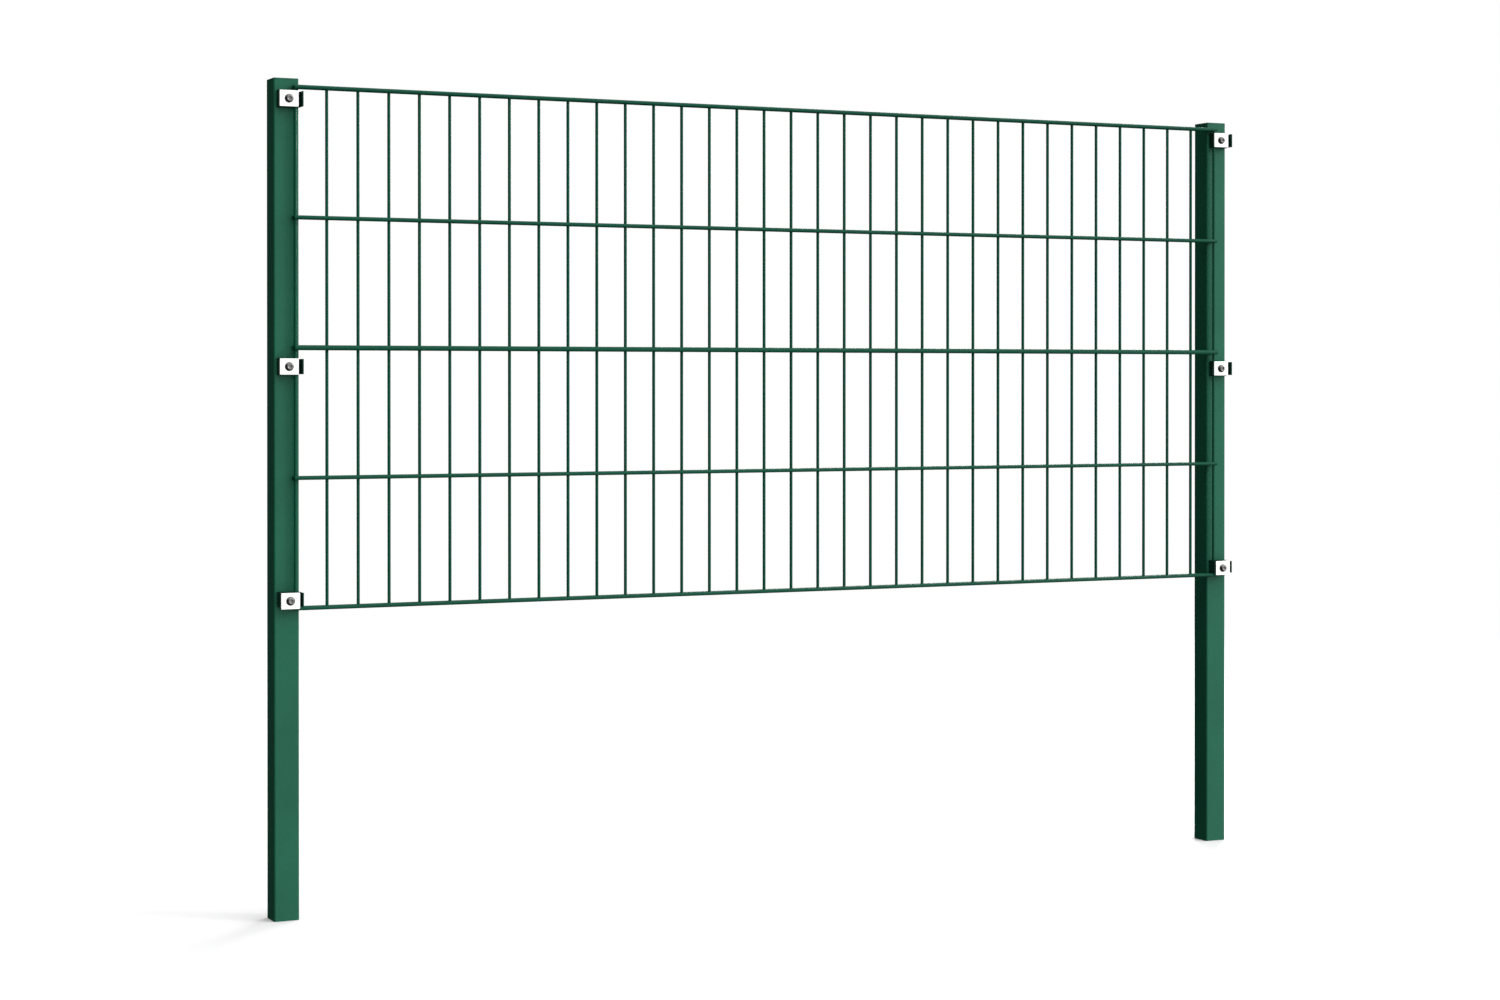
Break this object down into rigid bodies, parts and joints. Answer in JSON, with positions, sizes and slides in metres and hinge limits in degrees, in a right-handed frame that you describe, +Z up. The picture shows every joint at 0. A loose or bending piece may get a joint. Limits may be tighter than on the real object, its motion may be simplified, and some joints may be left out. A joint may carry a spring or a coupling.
{
  "type": "fence panel on posts",
  "caption": "Welded double-wire mesh fence panel held in front of two capped square posts by screw clamps with moulded saddles and steel cover plates.",
  "frame": {"origin": "level with the posts' feet, midway between the two posts' centre lines, on the posts' middle plane", "axes": "+X along the fence, +Z up, -Y the side the clamps are fitted from"},
  "size_m": [1.7653, 0.0662, 1.295],
  "materials": {
    "wire_coating": "green powder coat over galvanised wire, satin",
    "post_coating": "green powder coat over galvanised tube, satin",
    "cap_plastic": "dark green moulded plastic",
    "saddle_plastic": "very dark green moulded plastic",
    "plate_stainless": "pale brushed stainless steel",
    "screw_stainless": "stainless steel",
    "rivet_nut_zinc": "zinc plated steel"
  },
  "bodies": {
    "root": {"bottom_rail_front": "wire_coating", "bottom_rail_rear": "wire_coating", "lower_rail_front": "wire_coating", "lower_rail_rear": "wire_coating", "middle_rail_front": "wire_coating", "middle_rail_rear": "wire_coating", "upper_rail_front": "wire_coating", "upper_rail_rear": "wire_coating", "top_rail_front": "wire_coating", "top_rail_rear": "wire_coating", "left_end_wire": "wire_coating", "right_end_wire": "wire_coating", "vertical_wires_01": "wire_coating", "vertical_wires_02": "wire_coating", "vertical_wires_03": "wire_coating", "vertical_wires_04": "wire_coating", "vertical_wires_05": "wire_coating", "vertical_wires_06": "wire_coating", "vertical_wires_07": "wire_coating", "vertical_wires_08": "wire_coating", "vertical_wires_09": "wire_coating", "vertical_wires_10": "wire_coating", "vertical_wires_11": "wire_coating", "left_post": "post_coating", "left_post_cap": "cap_plastic", "left_top_rivet_nut": "rivet_nut_zinc", "left_top_clamp_saddle": "saddle_plastic", "left_middle_rivet_nut": "rivet_nut_zinc", "left_middle_clamp_saddle": "saddle_plastic", "left_bottom_rivet_nut": "rivet_nut_zinc", "left_bottom_clamp_saddle": "saddle_plastic", "right_post": "post_coating", "right_post_cap": "cap_plastic", "right_top_rivet_nut": "rivet_nut_zinc", "right_top_clamp_saddle": "saddle_plastic", "right_middle_rivet_nut": "rivet_nut_zinc", "right_middle_clamp_saddle": "saddle_plastic", "right_bottom_rivet_nut": "rivet_nut_zinc", "right_bottom_clamp_saddle": "saddle_plastic"},
    "left_top_plate": {"left_top_clamp_plate": "plate_stainless"},
    "left_top_screw": {"left_top_clamp_screw": "screw_stainless"},
    "left_middle_plate": {"left_middle_clamp_plate": "plate_stainless"},
    "left_middle_screw": {"left_middle_clamp_screw": "screw_stainless"},
    "left_bottom_plate": {"left_bottom_clamp_plate": "plate_stainless"},
    "left_bottom_screw": {"left_bottom_clamp_screw": "screw_stainless"},
    "right_top_plate": {"right_top_clamp_plate": "plate_stainless"},
    "right_top_screw": {"right_top_clamp_screw": "screw_stainless"},
    "right_middle_plate": {"right_middle_clamp_plate": "plate_stainless"},
    "right_middle_screw": {"right_middle_clamp_screw": "screw_stainless"},
    "right_bottom_plate": {"right_bottom_clamp_plate": "plate_stainless"},
    "right_bottom_screw": {"right_bottom_clamp_screw": "screw_stainless"}
  },
  "joints": [
    {"name": "left_top_plate_slide", "type": "slide", "parent": "root", "child": "left_top_plate", "axis": [0, -1, 0], "range_m": [0, 0.006]},
    {"name": "left_top_screw_turn", "type": "hinge", "parent": "left_top_plate", "child": "left_top_screw", "pos_m": [-0.8615, -0.03, 1.2625], "axis": [0, -1, 0], "range_deg": [0, 1730]},
    {"name": "left_middle_plate_slide", "type": "slide", "parent": "root", "child": "left_middle_plate", "axis": [0, -1, 0], "range_m": [0, 0.006]},
    {"name": "left_middle_screw_turn", "type": "hinge", "parent": "left_middle_plate", "child": "left_middle_screw", "pos_m": [-0.8615, -0.03, 0.852], "axis": [0, -1, 0], "range_deg": [0, 1730]},
    {"name": "left_bottom_plate_slide", "type": "slide", "parent": "root", "child": "left_bottom_plate", "axis": [0, -1, 0], "range_m": [0, 0.006]},
    {"name": "left_bottom_screw_turn", "type": "hinge", "parent": "left_bottom_plate", "child": "left_bottom_screw", "pos_m": [-0.8615, -0.03, 0.4933], "axis": [0, -1, 0], "range_deg": [0, 1730]},
    {"name": "right_top_plate_slide", "type": "slide", "parent": "root", "child": "right_top_plate", "axis": [0, -1, 0], "range_m": [0, 0.006]},
    {"name": "right_top_screw_turn", "type": "hinge", "parent": "right_top_plate", "child": "right_top_screw", "pos_m": [0.8615, -0.03, 1.2625], "axis": [0, -1, 0], "range_deg": [0, 1730]},
    {"name": "right_middle_plate_slide", "type": "slide", "parent": "root", "child": "right_middle_plate", "axis": [0, -1, 0], "range_m": [0, 0.006]},
    {"name": "right_middle_screw_turn", "type": "hinge", "parent": "right_middle_plate", "child": "right_middle_screw", "pos_m": [0.8615, -0.03, 0.852], "axis": [0, -1, 0], "range_deg": [0, 1730]},
    {"name": "right_bottom_plate_slide", "type": "slide", "parent": "root", "child": "right_bottom_plate", "axis": [0, -1, 0], "range_m": [0, 0.006]},
    {"name": "right_bottom_screw_turn", "type": "hinge", "parent": "right_bottom_plate", "child": "right_bottom_screw", "pos_m": [0.8615, -0.03, 0.4933], "axis": [0, -1, 0], "range_deg": [0, 1730]}
  ],
  "couplings": [
    {"joint": "left_top_screw_turn", "follows": "left_top_plate_slide", "rad_per_m": 5026.5},
    {"joint": "left_middle_screw_turn", "follows": "left_middle_plate_slide", "rad_per_m": 5026.5},
    {"joint": "left_bottom_screw_turn", "follows": "left_bottom_plate_slide", "rad_per_m": 5026.5},
    {"joint": "right_top_screw_turn", "follows": "right_top_plate_slide", "rad_per_m": 5026.5},
    {"joint": "right_middle_screw_turn", "follows": "right_middle_plate_slide", "rad_per_m": 5026.5},
    {"joint": "right_bottom_screw_turn", "follows": "right_bottom_plate_slide", "rad_per_m": 5026.5}
  ]
}
